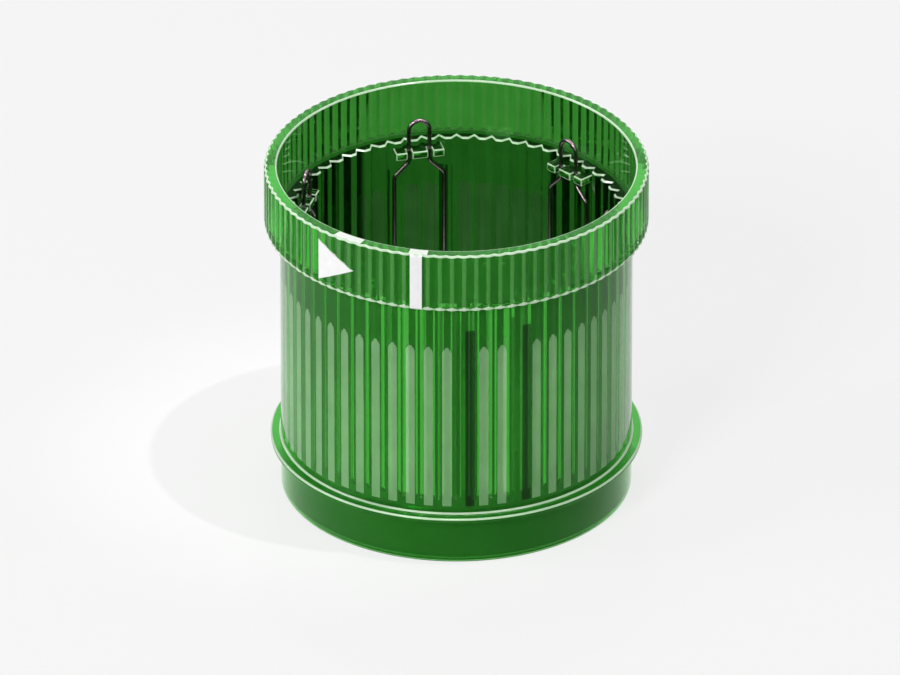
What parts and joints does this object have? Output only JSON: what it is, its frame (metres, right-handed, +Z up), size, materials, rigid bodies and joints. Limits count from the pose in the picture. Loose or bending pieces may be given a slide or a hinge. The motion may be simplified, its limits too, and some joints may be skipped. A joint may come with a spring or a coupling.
{
  "type": "stack light element",
  "caption": "Round tinted light element of a modular stack light: ribbed collar socket on top, plug-in skirt below, sprung wire contacts and a light board inside.",
  "frame": {"origin": "centre of the skirt's lower edge, on the column's axis", "axes": "+Z up the column's axis towards the socket, -Y through the white lock bar"},
  "size_m": [0.07, 0.07, 0.0648],
  "materials": {
    "lens": "clear tinted polycarbonate, polished",
    "mark": "plain white",
    "wire": "bright drawn spring wire",
    "carrier": "moulded",
    "plate": "tinned bronze strip",
    "board": "white solder mask",
    "led": "white moulded housing",
    "chip": "moulded black",
    "screw": "zinc plated",
    "lead": "sleeved lead"
  },
  "bodies": {
    "root": {"lens": "lens", "arrow_mark": "mark", "lock_bar_mark": "mark", "contact_wire_1": "wire", "contact_wire_2": "wire", "contact_wire_3": "wire", "contact_wire_4": "wire", "contact_wire_5": "wire", "contact_wire_6": "wire", "contact_carrier": "carrier", "contact_plate_1": "plate", "contact_plate_2": "plate", "contact_plate_3": "plate", "contact_plate_4": "plate", "contact_plate_5": "plate", "contact_plate_6": "plate", "led_board": "board", "led_1": "led", "led_2": "led", "led_3": "led", "led_4": "led", "led_5": "led", "led_6": "led", "led_7": "led", "led_8": "led", "led_9": "led", "resistor_1": "chip", "resistor_2": "chip", "resistor_3": "chip", "rectifier": "chip", "board_screws": "screw", "board_lead_1": "lead", "board_lead_2": "lead"}
  },
  "joints": []
}
